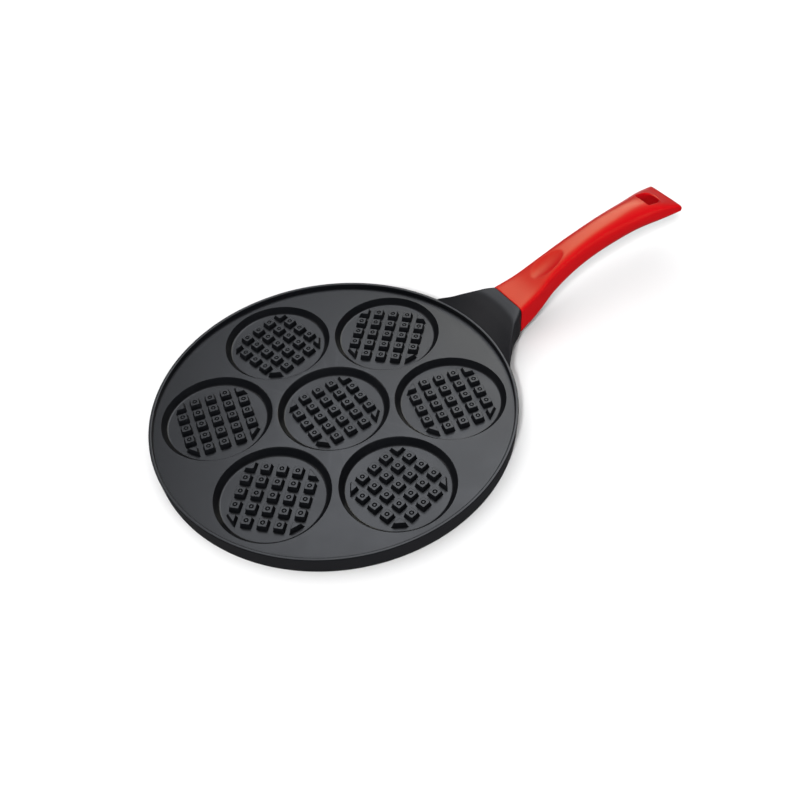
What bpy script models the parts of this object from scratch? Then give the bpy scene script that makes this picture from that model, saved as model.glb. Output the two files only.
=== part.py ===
# A seven-cup waffle pancake pan: one die-cast pan with its neck and tongue, a moulded
# grip pushed over the tongue, and the screw with two washers that holds the grip on.
# The origin is the pan's centre on the surface it rests on, +X runs along the grip, +Z is up.
import math

import bmesh
import bpy
from mathutils import Matrix, Vector

# General fits, in metres like every length here
OVERRUN = 0.0010            # how far a cutter, or a body joined to another, runs past a face
FIT_GAP = 0.0003            # gap between pieces that touch
MERGE_SHARE = 30            # points closer than this share of the gap are merged

# Plate, lip and skirt of the casting
PAN_DIAMETER = 0.265        # over the lip
LIP_WIDTH = 0.0026
LIP_HEIGHT = 0.0030         # above the plate
LIP_ROUND = 0.0007
RIM_LAND = 0.0048           # plate between the outer cups and the lip
PLATE_THICKNESS = 0.0035
SKIRT_THICKNESS = 0.0028
SKIRT_DRAFT = 0.0010        # how much smaller the skirt is at its foot
SKIRT_LIFT = 0.0006         # the skirt's foot stays clear of the hob
RIM_STEPS = 84

# The seven cups: one in the middle and six around it
CUP_COUNT = 6
CUP_WEB = 0.0039            # plate between two cups
CUP_DEPTH = 0.0055
CUP_WALL_RUN = 0.0039       # how far the sloped wall leans in
CUP_EDGE_ROUND = 0.0007
CUP_FLOOR_ROUND = 0.0010
CUP_FLOOR_THICKNESS = 0.0065
CUP_STEPS = 36
FIRST_CUP_ANGLE = math.radians(30)

# Round pads under the cups, which the pan stands on
PAD_FLARE = 0.0022          # how much wider a pad is at its root
PAD_WALL = 0.0022           # metal outside a cup's floor at the pad's foot
PAD_EDGE_ROUND = 0.0008
PAD_STEPS = 28

# Waffle blocks on a cup's floor
GRID_COUNT = 5
BLOCK_PITCH = 0.0114
BLOCK_FOOT = 0.0078
BLOCK_TOP = 0.0066
BLOCK_HEIGHT = 0.0038
CORNER_MARGIN = 0.0039      # the corner blocks are cut off this far inside the floor's edge
GRID_TURN = math.radians(45)
GRID_TURN_STEP = math.radians(58)
GRID_TURN_SHARES = (0, 1, -1)   # for the cups from the first round to its opposite

# Neck: a flared wing cast on the rim, hollow from below, ending in the grip's outline
NECK_LENGTH = 0.0245        # from the lip to the joint, along the middle
NECK_ROOT_WIDTH = 0.0972
NECK_ROOT_DROP = 0.0006     # the wing starts this far below the lip's top
NECK_ROOT_FOOT = 0.0040     # the wing's underside at the rim, above the hob
NECK_WALL = 0.0034
NECK_END_WALL = 0.0060      # full metal behind the joint, which carries the tongue
NECK_STEPS = 11
NECK_HOLLOW_STEPS = 6
NECK_ALONG_SHARES = (0.0, 0.1, 0.25, 0.45, 0.65, 0.85, 1.0)
NECK_WIDTH_SHARES = (1.0, 0.88, 0.67, 0.44, 0.245, 0.12, 0.0)
NECK_RISE_SHARES = (0.0, 0.15, 0.36, 0.64, 0.855, 0.95, 1.0)
NECK_FOOT_SHARES = (0.0, 0.1, 0.25, 0.45, 0.65, 0.85, 1.0)
NECK_SQUARE_SHARES = (20.0, 20.0, 18.0, 15.0, 12.0, 10.0, 9.0)

# Grip: a loft that starts square at the joint, thins at the waist and widens to the tail
JOINT_WIDTH = 0.0350
JOINT_DEPTH = 0.0246
JOINT_HEIGHT = 0.0193       # middle of the joint above the hob
GRIP_LENGTH = 0.1600
GRIP_RISE = 0.0335          # from the joint's middle to the top of the grip's arch
GRIP_STEPS = 25
TAIL_ROUND = 0.0018
TAIL_STEPS = 3
TAIL_TILT = math.radians(31)    # the end face leans back above the grip's widest line
TAIL_TILT_START_SHARE = 0.75
GRIP_ALONG_SHARES = (0.0, 0.113, 0.238, 0.394, 0.581, 0.80, 1.0)
GRIP_WIDTH_SHARES = (1.0, 0.845, 0.665, 0.605, 0.64, 0.765, 0.985)
GRIP_RISE_SHARES = (0.0, 0.175, 0.48, 0.748, 0.925, 1.0, 0.957)
GRIP_DEPTH_SHARES = (1.0, 0.97, 0.92, 0.88, 0.88, 0.84, 0.28)
GRIP_SQUARE_SHARES = (9.0, 7.0, 4.8, 3.3, 2.6, 2.5, 6.0)
SECTION_STEPS = 20

# Thumb hollow on the grip's top
HOLLOW_LENGTH = 0.0380
HOLLOW_WIDTH = 0.0165
HOLLOW_DEPTH = 0.0022
HOLLOW_PLACE = 0.0368       # its middle, from the joint
HOLLOW_CAP_SHARE = 0.37     # the share of the ball's half height that cuts the grip
HOLLOW_STEPS = 28

# Hanging hole near the tail, straight in front and rounded behind
HANG_WIDTH = 0.0160
HANG_LENGTH = 0.0158
HANG_REAR_REACH = 0.0100    # how far the rounded rear end reaches along the grip
HANG_REAR_SQUARE = 2.6      # 2 gives half an ellipse there, more gives fuller corners
HANG_CORNER = 0.0022
HANG_END = 0.0134           # grip left behind the hole
HANG_STEPS = 14
HANG_CORNER_STEPS = 2

# Tongue on the neck and its socket in the grip
TONGUE_TILT = math.radians(24)
TONGUE_RAISE = 0.0012       # its axis at the joint, above the joint's middle
TONGUE_LENGTH = 0.0260
TONGUE_ROOT = 0.0030
TONGUE_WIDTH = 0.0150
TONGUE_DEPTH = 0.0090
TONGUE_ROUND = 0.0010

# Screw with a flat and a split washer, driven up into the tongue from the grip's underside
SCREW_PLACE = 0.0125        # along the tongue, from the joint
SCREW_DIAMETER = 0.0050
SCREW_TIP_CHAMFER = 0.0008
SCREW_TIP_BACK = 0.0006     # the tip stops short of the tongue's upper face
HEAD_DIAMETER = 0.0092
HEAD_HEIGHT = 0.0030
HEAD_ROUND = 0.0014
CROSS_WIDTH = 0.0011
CROSS_LENGTH = 0.0050
CROSS_DEPTH = 0.0018
SEAT_THICKNESS = 0.0028     # grip between the socket and the screw's counterbore
SHANK_CLEARANCE = 0.0005
COUNTERBORE_CLEARANCE = 0.0007
FLAT_WASHER_DIAMETER = 0.0100
FLAT_WASHER_THICKNESS = 0.0009
SPRING_WASHER_DIAMETER = 0.0088
SPRING_WASHER_THICKNESS = 0.0012
SPRING_WASHER_SLIT = 0.0008
SPRING_WASHER_LEAN = math.radians(25)
FASTENER_STEPS = 24

# Worked out from the sizes above
PAN_RADIUS = PAN_DIAMETER / 2
CUP_RADIUS = (PAN_RADIUS - LIP_WIDTH - RIM_LAND - CUP_WEB) / 3
CUP_RING_RADIUS = 2 * CUP_RADIUS + CUP_WEB
CUP_FLOOR_RADIUS = CUP_RADIUS - CUP_WALL_RUN
PLATE_TOP = CUP_FLOOR_THICKNESS + CUP_DEPTH
PLATE_UNDER = PLATE_TOP - PLATE_THICKNESS
LIP_TOP = PLATE_TOP + LIP_HEIGHT
PAD_RADIUS = CUP_FLOOR_RADIUS + PAD_WALL
JOINT_X = PAN_RADIUS + NECK_LENGTH
SEAT_DROP = TONGUE_DEPTH / 2 + FIT_GAP + SEAT_THICKNESS
MERGE_DISTANCE = FIT_GAP / MERGE_SHARE
SHARP_ANGLE = math.radians(32)


# Scene, collections and finishes

def clear_scene():
    for item in list(bpy.data.objects):
        bpy.data.objects.remove(item, do_unlink=True)


def new_collection(name):
    collection = bpy.data.collections.new(name)
    bpy.context.scene.collection.children.link(collection)
    return collection


def new_material(name, colour, roughness, metallic):
    material = bpy.data.materials.new(name)
    material.use_nodes = True
    shader = material.node_tree.nodes["Principled BSDF"]
    shader.inputs["Base Color"].default_value = (*colour, 1)
    shader.inputs["Roughness"].default_value = roughness
    shader.inputs["Metallic"].default_value = metallic
    material.diffuse_color = (*colour, 1)
    return material


def new_object(name, mesh, collection):
    item = bpy.data.objects.new(name, mesh)
    collection.objects.link(item)
    return item


def mesh_from(name, bm):
    mesh = bpy.data.meshes.new(name)
    bm.to_mesh(mesh)
    bm.free()
    return mesh


def as_cutter(item):
    item.hide_render = True
    item.display_type = 'WIRE'
    return item


def boolean(target, tool, operation):
    modifier = target.modifiers.new(tool.name, 'BOOLEAN')
    modifier.object = tool
    modifier.operation = operation
    modifier.solver = 'EXACT'


def evaluated_mesh(item):
    bpy.context.view_layer.update()
    graph = bpy.context.evaluated_depsgraph_get()
    return bpy.data.meshes.new_from_object(item.evaluated_get(graph), depsgraph=graph)


def finish(item, material):
    # The modifiers are applied once, so that the whole surface can be shaded by angle
    mesh = evaluated_mesh(item)
    item.modifiers.clear()
    item.data = mesh
    mesh.name = item.name
    mesh.materials.clear()
    mesh.materials.append(material)
    mesh.shade_smooth()
    mesh.set_sharp_from_angle(angle=SHARP_ANGLE)


# Turned shapes

def rounded_profile(corners, arc_steps):
    # corners holds (radius, height, rounding); a rounded corner becomes a short curve
    points = []
    for place, (radius, height, rounding) in enumerate(corners):
        here = Vector((radius, height))
        if rounding == 0:
            points.append(here)
            continue
        before = Vector(corners[place - 1][:2]) - here
        after = Vector(corners[place + 1][:2]) - here
        start = here + before.normalized() * rounding
        end = here + after.normalized() * rounding
        for step in range(arc_steps + 1):
            share = step / arc_steps
            bend = start.lerp(here, share).lerp(here.lerp(end, share), share)
            points.append(bend)
    return points


def turned(name, profile, steps, collection):
    # The profile runs down the outer side, from top to bottom
    bm = bmesh.new()
    ring = [bm.verts.new((point[0], 0, point[1])) for point in profile]
    for upper, lower in zip(ring, ring[1:]):
        bm.edges.new((upper, lower))
    item = new_object(name, mesh_from(name, bm), collection)
    modifier = item.modifiers.new("turn", 'SCREW')
    modifier.axis = 'Z'
    modifier.angle = 2 * math.pi
    modifier.steps = steps
    modifier.render_steps = steps
    modifier.use_merge_vertices = True
    modifier.merge_threshold = MERGE_DISTANCE
    return item


def ring_profile(inner, outer, top, bottom):
    return [(inner, top), (outer, top), (outer, bottom), (inner, bottom), (inner, top)]


def cylinder(name, radius, top, bottom, steps, collection):
    return turned(name, [(0, top), (radius, top), (radius, bottom), (0, bottom)], steps, collection)


def gather(name, mesh, places, collection):
    # One object that holds a copy of the mesh at each place
    bm = bmesh.new()
    for place in places:
        start = len(bm.verts)
        bm.from_mesh(mesh)
        bm.verts.ensure_lookup_table()
        bmesh.ops.transform(bm, matrix=place, verts=bm.verts[start:])
    return new_object(name, mesh_from(name, bm), collection)


# Lofts between unlike sections

def smooth_value(places, values, at):
    # A cubic through the stations, whose slope at each is that between its neighbours
    last = len(places) - 1
    index = max([i for i in range(last) if at >= places[i]], default=0)

    def slope(station):
        low, high = max(station - 1, 0), min(station + 1, last)
        return (values[high] - values[low]) / (places[high] - places[low])

    span = places[index + 1] - places[index]
    u = (at - places[index]) / span
    start_part = (2 * u ** 3 - 3 * u ** 2 + 1) * values[index]
    start_slope_part = (u ** 3 - 2 * u ** 2 + u) * span * slope(index)
    end_part = (3 * u ** 2 - 2 * u ** 3) * values[index + 1]
    end_slope_part = (u ** 3 - u ** 2) * span * slope(index + 1)
    return start_part + start_slope_part + end_part + end_slope_part


def unit_section(squareness):
    # Over the top from -Y to +Y, then back underneath; high squareness gives a near rectangle
    upper = []
    for step in range(SECTION_STEPS + 1):
        across = math.sin(math.pi * (step / SECTION_STEPS - 0.5))
        up = max(0, 1 - abs(across) ** squareness) ** (1 / squareness)
        upper.append((across, up))
    lower = [(across, -up) for across, up in reversed(upper[1:-1])]
    return upper + lower


def loft(name, rings, collection):
    bm = bmesh.new()
    loops = [[bm.verts.new(point) for point in ring] for ring in rings]
    count = len(rings[0])
    for first, second in zip(loops, loops[1:]):
        for i in range(count):
            j = (i + 1) % count
            bm.faces.new((first[i], first[j], second[j], second[i]))
    # Each end is closed by a ladder from the upper points to the lower ones beneath them
    for loop in (loops[0], loops[-1]):
        for i in range(count // 2):
            corners = (loop[i], loop[i + 1], loop[-i - 1], loop[-i])
            bm.faces.new(list(dict.fromkeys(corners)))
    bmesh.ops.recalc_face_normals(bm, faces=bm.faces)
    return new_object(name, mesh_from(name, bm), collection)


# The casting

def disc_profile():
    inner_lip = PAN_RADIUS - LIP_WIDTH
    foot_radius = PAN_RADIUS - SKIRT_DRAFT
    corners = [
        (0, PLATE_TOP, 0),
        (inner_lip, PLATE_TOP, LIP_ROUND),
        (inner_lip, LIP_TOP, LIP_ROUND),
        (PAN_RADIUS, LIP_TOP, LIP_ROUND),
        (foot_radius, SKIRT_LIFT, LIP_ROUND),
        (foot_radius - SKIRT_THICKNESS, SKIRT_LIFT, 0),
        (PAN_RADIUS - SKIRT_THICKNESS - LIP_ROUND, PLATE_UNDER, 0),
        (0, PLATE_UNDER, 0),
    ]
    return rounded_profile(corners, 1)


def cup_places():
    # The middle cup, then the six around it; opposite cups share their grid's turn
    places = [Matrix.Rotation(0, 4, 'Z')]
    for index in range(CUP_COUNT):
        angle = FIRST_CUP_ANGLE + 2 * math.pi * index / CUP_COUNT
        turn = GRID_TURN + GRID_TURN_STEP * GRID_TURN_SHARES[index % len(GRID_TURN_SHARES)]
        centre = Vector((math.cos(angle), math.sin(angle), 0)) * CUP_RING_RADIUS
        places.append(Matrix.Translation(centre) @ Matrix.Rotation(turn, 4, 'Z'))
    return places


def cup_profile():
    # The sloped wall is carried on above the plate, so the edge's rounding meets it cleanly
    lean = CUP_WALL_RUN / CUP_DEPTH
    flat_lean = 2 * lean
    edge_drop = CUP_EDGE_ROUND
    edge_radius = CUP_RADIUS - lean * edge_drop
    lip_radius = edge_radius + flat_lean * edge_drop
    corners = [
        (0, PLATE_TOP + OVERRUN, 0),
        (lip_radius + flat_lean * OVERRUN, PLATE_TOP + OVERRUN, 0),
        (edge_radius, PLATE_TOP - edge_drop, 0),
        (CUP_FLOOR_RADIUS, CUP_FLOOR_THICKNESS, CUP_FLOOR_ROUND),
        (0, CUP_FLOOR_THICKNESS, 0),
    ]
    return rounded_profile(corners, 2)


def pad_profile():
    top = PLATE_UNDER + PLATE_THICKNESS / 2
    corners = [
        (0, top, 0),
        (PAD_RADIUS + PAD_FLARE, top, 0),
        (PAD_RADIUS + PAD_FLARE, PLATE_UNDER, 0),
        (PAD_RADIUS, 0, PAD_EDGE_ROUND),
        (0, 0, 0),
    ]
    return rounded_profile(corners, 1)


def waffle_blocks():
    # One grid of tapered blocks about the origin; the four corner blocks are cut across
    bm = bmesh.new()
    middle = (GRID_COUNT - 1) / 2
    root = CUP_FLOOR_THICKNESS - OVERRUN
    sink_growth = (BLOCK_FOOT - BLOCK_TOP) * OVERRUN / BLOCK_HEIGHT
    depth = BLOCK_HEIGHT + OVERRUN
    corner_reach = CUP_FLOOR_RADIUS - CORNER_MARGIN
    for row in range(GRID_COUNT):
        for column in range(GRID_COUNT):
            x = (row - middle) * BLOCK_PITCH
            y = (column - middle) * BLOCK_PITCH
            place = Matrix.Translation((x, y, root + depth / 2)) @ Matrix.Rotation(math.pi / 4, 4, 'Z')
            made = bmesh.ops.create_cone(
                bm, cap_ends=True, segments=4, matrix=place, depth=depth,
                radius1=(BLOCK_FOOT + sink_growth) / math.sqrt(2), radius2=BLOCK_TOP / math.sqrt(2))
            if abs(row - middle) == middle and abs(column - middle) == middle:
                cut_corner(bm, made["verts"], Vector((x, y, 0)).normalized(), corner_reach)
    return mesh_from("waffle_blocks", bm)


def cut_corner(bm, verts, outward, reach):
    faces = {face for vert in verts for face in vert.link_faces}
    edges = {edge for vert in verts for edge in vert.link_edges}
    cut = bmesh.ops.bisect_plane(
        bm, geom=list(verts) + list(edges) + list(faces), dist=MERGE_DISTANCE,
        plane_co=outward * reach, plane_no=outward, clear_outer=True)
    rim = [item for item in cut["geom_cut"] if isinstance(item, bmesh.types.BMEdge)]
    bmesh.ops.edgeloop_fill(bm, edges=rim)


def neck_ring(share, inset, foot):
    # share runs from 0 at the rim, whose curve the wing follows, to 1 at the straight joint
    spread = smooth_value(NECK_ALONG_SHARES, NECK_WIDTH_SHARES, share)
    rise = smooth_value(NECK_ALONG_SHARES, NECK_RISE_SHARES, share)
    half_width = (JOINT_WIDTH + (NECK_ROOT_WIDTH - JOINT_WIDTH) * spread) / 2 - inset
    root_top = LIP_TOP - NECK_ROOT_DROP
    joint_top = JOINT_HEIGHT + JOINT_DEPTH / 2
    top = root_top + (joint_top - root_top) * rise - inset
    rim = PAN_RADIUS - LIP_WIDTH / 2
    square = smooth_value(NECK_ALONG_SHARES, NECK_SQUARE_SHARES, share)
    ring = []
    for across, up in unit_section(square):
        y = across * half_width
        start = math.sqrt(rim ** 2 - (across * NECK_ROOT_WIDTH / 2) ** 2)
        x = start + (JOINT_X - start) * share
        z = (top + foot) / 2 + up * (top - foot) / 2
        ring.append((x, y, z))
    return ring


def neck_foot(share):
    drop = smooth_value(NECK_ALONG_SHARES, NECK_FOOT_SHARES, share)
    return NECK_ROOT_FOOT + (JOINT_HEIGHT - JOINT_DEPTH / 2 - NECK_ROOT_FOOT) * drop


def make_neck(collection):
    shares = [step / NECK_STEPS for step in range(NECK_STEPS + 1)]
    return loft("neck", [neck_ring(share, 0, neck_foot(share)) for share in shares], collection)


def make_neck_hollow(collection):
    # Leaves a wall all round, and full metal behind the joint
    length = NECK_LENGTH + LIP_WIDTH / 2
    first = (NECK_WALL + LIP_WIDTH / 2) / length
    last = 1 - NECK_END_WALL / length
    steps = NECK_HOLLOW_STEPS
    shares = [first + (last - first) * step / steps for step in range(steps + 1)]
    rings = [neck_ring(share, NECK_WALL, -JOINT_DEPTH) for share in shares]
    return as_cutter(loft("neck_hollow", rings, collection))


def tongue_frame():
    joint = Vector((JOINT_X, 0, JOINT_HEIGHT + TONGUE_RAISE))
    return Matrix.Translation(joint) @ Matrix.Rotation(-TONGUE_TILT, 4, 'Y')


def screw_frame():
    return tongue_frame() @ Matrix.Translation((SCREW_PLACE, 0, 0))


def tongue_block(name, grow, collection):
    # The tongue itself, or with grow the socket that it slides into
    length = TONGUE_LENGTH + TONGUE_ROOT + grow
    size = Matrix.Diagonal((length, TONGUE_WIDTH + 2 * grow, TONGUE_DEPTH + 2 * grow, 1))
    middle = Matrix.Translation((length / 2 - TONGUE_ROOT, 0, 0))
    bm = bmesh.new()
    bmesh.ops.create_cube(bm, size=1, matrix=middle @ size)
    item = new_object(name, mesh_from(name, bm), collection)
    item.matrix_world = tongue_frame()
    bevel = item.modifiers.new("rounding", 'BEVEL')
    bevel.width = TONGUE_ROUND
    bevel.segments = 2
    return item


def make_pan(parts, tools):
    pan = turned("pan_body", disc_profile(), RIM_STEPS, parts)
    places = cup_places()
    pad = turned("pad", pad_profile(), PAD_STEPS, tools)
    cup = turned("cup", cup_profile(), CUP_STEPS, tools)
    pads = as_cutter(gather("cup_pads", evaluated_mesh(pad), places, tools))
    cups = as_cutter(gather("cup_hollows", evaluated_mesh(cup), places, tools))
    blocks = as_cutter(gather("block_grids", waffle_blocks(), places, tools))
    for pattern in (pad, cup):
        bpy.data.objects.remove(pattern, do_unlink=True)
    neck = as_cutter(make_neck(tools))
    tongue = as_cutter(tongue_block("tongue", 0, tools))
    tapped_top = TONGUE_DEPTH / 2 + OVERRUN
    tapped = cylinder("tapped_hole", SCREW_DIAMETER / 2 + FIT_GAP, tapped_top, -tapped_top,
                      FASTENER_STEPS, tools)
    tapped.matrix_world = screw_frame()
    boolean(pan, pads, 'UNION')
    boolean(pan, cups, 'DIFFERENCE')
    boolean(pan, blocks, 'UNION')
    boolean(pan, neck, 'UNION')
    boolean(pan, make_neck_hollow(tools), 'DIFFERENCE')
    boolean(pan, tongue, 'UNION')
    boolean(pan, as_cutter(tapped), 'DIFFERENCE')
    return pan


# The grip

def grip_station(along):
    share = along / GRIP_LENGTH
    half_width = JOINT_WIDTH / 2 * smooth_value(GRIP_ALONG_SHARES, GRIP_WIDTH_SHARES, share)
    half_depth = JOINT_DEPTH / 2 * smooth_value(GRIP_ALONG_SHARES, GRIP_DEPTH_SHARES, share)
    middle = JOINT_HEIGHT + GRIP_RISE * smooth_value(GRIP_ALONG_SHARES, GRIP_RISE_SHARES, share)
    square = smooth_value(GRIP_ALONG_SHARES, GRIP_SQUARE_SHARES, share)
    return half_width, half_depth, middle, square


def grip_top(along):
    half_width, half_depth, middle, square = grip_station(along)
    return middle + half_depth


def make_grip_loft(collection):
    body = GRIP_LENGTH - TAIL_ROUND
    stations = [(body * step / GRIP_STEPS, 0) for step in range(GRIP_STEPS + 1)]
    for step in range(1, TAIL_STEPS + 1):
        angle = math.pi / 2 * step / TAIL_STEPS
        stations.append((body + TAIL_ROUND * math.sin(angle), TAIL_ROUND * (1 - math.cos(angle))))
    rings = []
    for along, inset in stations:
        half_width, half_depth, middle, square = grip_station(along)
        x = JOINT_X + FIT_GAP + along
        late = max(0, along / GRIP_LENGTH - TAIL_TILT_START_SHARE) / (1 - TAIL_TILT_START_SHARE)
        lean = math.tan(TAIL_TILT) * late ** 2 * half_depth
        rings.append([(x - lean * max(0, up), across * (half_width - inset),
                       middle + up * (half_depth - inset)) for across, up in unit_section(square)])
    return loft("handle_grip", rings, collection)


def make_thumb_hollow(collection):
    # A stretched ball, tilted with the grip's top, whose lowest cap cuts the hollow
    half_height = HOLLOW_DEPTH / HOLLOW_CAP_SHARE
    reach = math.sqrt(1 - (1 - HOLLOW_CAP_SHARE) ** 2)
    slope = grip_top(HOLLOW_PLACE + HOLLOW_DEPTH) - grip_top(HOLLOW_PLACE - HOLLOW_DEPTH)
    tilt = math.atan2(slope, 2 * HOLLOW_DEPTH)
    size = Matrix.Diagonal((HOLLOW_LENGTH / 2 / reach, HOLLOW_WIDTH / 2 / reach, half_height, 1))
    lift = Matrix.Translation((0, 0, half_height - HOLLOW_DEPTH))
    place = Matrix.Translation((JOINT_X + HOLLOW_PLACE, 0, grip_top(HOLLOW_PLACE)))
    bm = bmesh.new()
    bmesh.ops.create_uvsphere(bm, u_segments=HOLLOW_STEPS, v_segments=HOLLOW_STEPS // 2, radius=1,
                              matrix=place @ Matrix.Rotation(-tilt, 4, 'Y') @ lift @ size)
    return as_cutter(new_object("thumb_hollow", mesh_from("thumb_hollow", bm), collection))


def hang_outline():
    # Straight in front with two small corners, a full rounded end behind
    back = JOINT_X + GRIP_LENGTH - HANG_END
    front = back - HANG_LENGTH
    half = HANG_WIDTH / 2
    points = []
    for step in range(HANG_STEPS + 1):
        angle = math.pi * (0.5 - step / HANG_STEPS)
        along = max(0, math.cos(angle)) ** (2 / HANG_REAR_SQUARE)
        across = math.copysign(abs(math.sin(angle)) ** (2 / HANG_REAR_SQUARE), math.sin(angle))
        points.append((back - HANG_REAR_REACH * (1 - along), half * across))
    for side, start in ((-1, math.pi * 1.5), (1, math.pi)):
        for step in range(HANG_CORNER_STEPS + 1):
            angle = start - math.pi / 2 * step / HANG_CORNER_STEPS
            centre = (front + HANG_CORNER, side * (half - HANG_CORNER))
            points.append((centre[0] + HANG_CORNER * math.cos(angle),
                           centre[1] + HANG_CORNER * math.sin(angle)))
    return points


def make_hang_hole(collection):
    curve = bpy.data.curves.new("hang_outline", 'CURVE')
    curve.dimensions = '2D'
    curve.fill_mode = 'BOTH'
    points = hang_outline()
    middle = JOINT_HEIGHT + GRIP_RISE
    curve.extrude = JOINT_DEPTH
    spline = curve.splines.new('POLY')
    spline.points.add(len(points) - 1)
    for spot, (x, y) in zip(spline.points, points):
        spot.co = (x, y, 0, 1)
    spline.use_cyclic_u = True
    outline = new_object("hang_outline", curve, collection)
    outline.location = (0, 0, middle)
    bm = bmesh.new()
    bm.from_mesh(evaluated_mesh(outline))
    bmesh.ops.remove_doubles(bm, verts=bm.verts, dist=MERGE_DISTANCE)
    bmesh.ops.recalc_face_normals(bm, faces=bm.faces)
    hole = new_object("hang_hole", mesh_from("hang_hole", bm), collection)
    hole.matrix_world = outline.matrix_world
    bpy.data.objects.remove(outline, do_unlink=True)
    return as_cutter(hole)


def make_grip(parts, tools):
    grip = make_grip_loft(parts)
    boolean(grip, as_cutter(tongue_block("socket", FIT_GAP, tools)), 'DIFFERENCE')
    shank_hole = cylinder("shank_hole", SCREW_DIAMETER / 2 + SHANK_CLEARANCE, 0,
                          -SEAT_DROP - OVERRUN, FASTENER_STEPS, tools)
    counterbore = cylinder("counterbore", FLAT_WASHER_DIAMETER / 2 + COUNTERBORE_CLEARANCE,
                           -SEAT_DROP, -SEAT_DROP - JOINT_DEPTH, FASTENER_STEPS, tools)
    for cutter in (shank_hole, counterbore):
        cutter.matrix_world = screw_frame()
        boolean(grip, as_cutter(cutter), 'DIFFERENCE')
    boolean(grip, make_thumb_hollow(tools), 'DIFFERENCE')
    boolean(grip, make_hang_hole(tools), 'DIFFERENCE')
    return grip


# The fastening, drawn in the screw's own frame: z = 0 is the tongue's middle, +Z up the screw

def stack_tops():
    # Upper faces of the flat washer, the split washer and the head, from the seat downwards
    flat_top = -SEAT_DROP - FIT_GAP
    spring_top = flat_top - FLAT_WASHER_THICKNESS - FIT_GAP
    head_top = spring_top - SPRING_WASHER_THICKNESS - FIT_GAP
    return flat_top, spring_top, head_top


def make_screw(parts, tools):
    head_top = stack_tops()[2]
    tip = TONGUE_DEPTH / 2 - SCREW_TIP_BACK
    shank = SCREW_DIAMETER / 2
    head = HEAD_DIAMETER / 2
    corners = [
        (0, tip, 0),
        (shank - SCREW_TIP_CHAMFER, tip, 0),
        (shank, tip - SCREW_TIP_CHAMFER, 0),
        (shank, head_top, 0),
        (head, head_top, 0),
        (head, head_top - HEAD_HEIGHT, HEAD_ROUND),
        (0, head_top - HEAD_HEIGHT, 0),
    ]
    screw = turned("handle_screw", rounded_profile(corners, 3), FASTENER_STEPS, parts)
    screw.matrix_world = screw_frame()
    bm = bmesh.new()
    middle = Matrix.Translation((0, 0, head_top - HEAD_HEIGHT + (CROSS_DEPTH - OVERRUN) / 2))
    size = Matrix.Diagonal((CROSS_LENGTH, CROSS_WIDTH, CROSS_DEPTH + OVERRUN, 1))
    bmesh.ops.create_cube(bm, size=1, matrix=middle @ size)
    slot = mesh_from("cross_slot", bm)
    for index in range(2):
        turn = Matrix.Rotation(math.pi / 2 * index, 4, 'Z')
        cutter = as_cutter(new_object(f"cross_slot_{index + 1}", slot, tools))
        cutter.matrix_world = screw_frame() @ turn
        boolean(screw, cutter, 'DIFFERENCE')
    return screw


def make_washers(parts, tools):
    flat_top, spring_top, head_top = stack_tops()
    hole = SCREW_DIAMETER / 2 + FIT_GAP
    flat = turned("flat_washer", ring_profile(hole, FLAT_WASHER_DIAMETER / 2, flat_top,
                                              flat_top - FLAT_WASHER_THICKNESS),
                  FASTENER_STEPS, parts)
    spring = turned("spring_washer", ring_profile(hole, SPRING_WASHER_DIAMETER / 2, spring_top,
                                                  spring_top - SPRING_WASHER_THICKNESS),
                    FASTENER_STEPS, parts)
    for washer in (flat, spring):
        washer.matrix_world = screw_frame()
    # The slit leans, as a coiled washer's does
    bm = bmesh.new()
    size = Matrix.Diagonal((SPRING_WASHER_DIAMETER, SPRING_WASHER_SLIT, SPRING_WASHER_DIAMETER, 1))
    middle = spring_top - SPRING_WASHER_THICKNESS / 2
    place = Matrix.Translation((SPRING_WASHER_DIAMETER / 2, 0, middle))
    lean = Matrix.Rotation(SPRING_WASHER_LEAN, 4, 'X')
    bmesh.ops.create_cube(bm, size=1, matrix=place @ lean @ size)
    slit = as_cutter(new_object("washer_slit", mesh_from("washer_slit", bm), tools))
    slit.matrix_world = screw_frame()
    boolean(spring, slit, 'DIFFERENCE')
    return flat, spring


def main():
    clear_scene()
    parts = new_collection("pancake_pan")
    tools = new_collection("cutters")
    coating = new_material("dark_coating", (0.045, 0.047, 0.052), 0.42, 0.15)
    red = new_material("red_soft_touch", (0.60, 0.012, 0.014), 0.38, 0.0)
    steel = new_material("zinc_steel", (0.55, 0.56, 0.58), 0.35, 1.0)
    pan = make_pan(parts, tools)
    grip = make_grip(parts, tools)
    screw = make_screw(parts, tools)
    flat, spring = make_washers(parts, tools)
    finishes = ((pan, coating), (grip, red), (screw, steel), (flat, steel), (spring, steel))
    for item, material in finishes:
        finish(item, material)
    root = bpy.data.objects.new("pan_origin", None)
    parts.objects.link(root)
    for item, material in finishes:
        item.parent = root
    bpy.context.view_layer.update()
    for item, material in finishes:
        print(item.name, "faces", len(item.data.polygons))


main()
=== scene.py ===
# Seven-cup waffle pancake pan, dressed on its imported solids: a fine casting with its grids of
# blocks, the ground feet beneath, the moulded grip, the screw with its washers, and the studio.
import math

import bmesh
import bpy
from mathutils import Matrix, Vector
from mathutils.bvhtree import BVHTree


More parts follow.
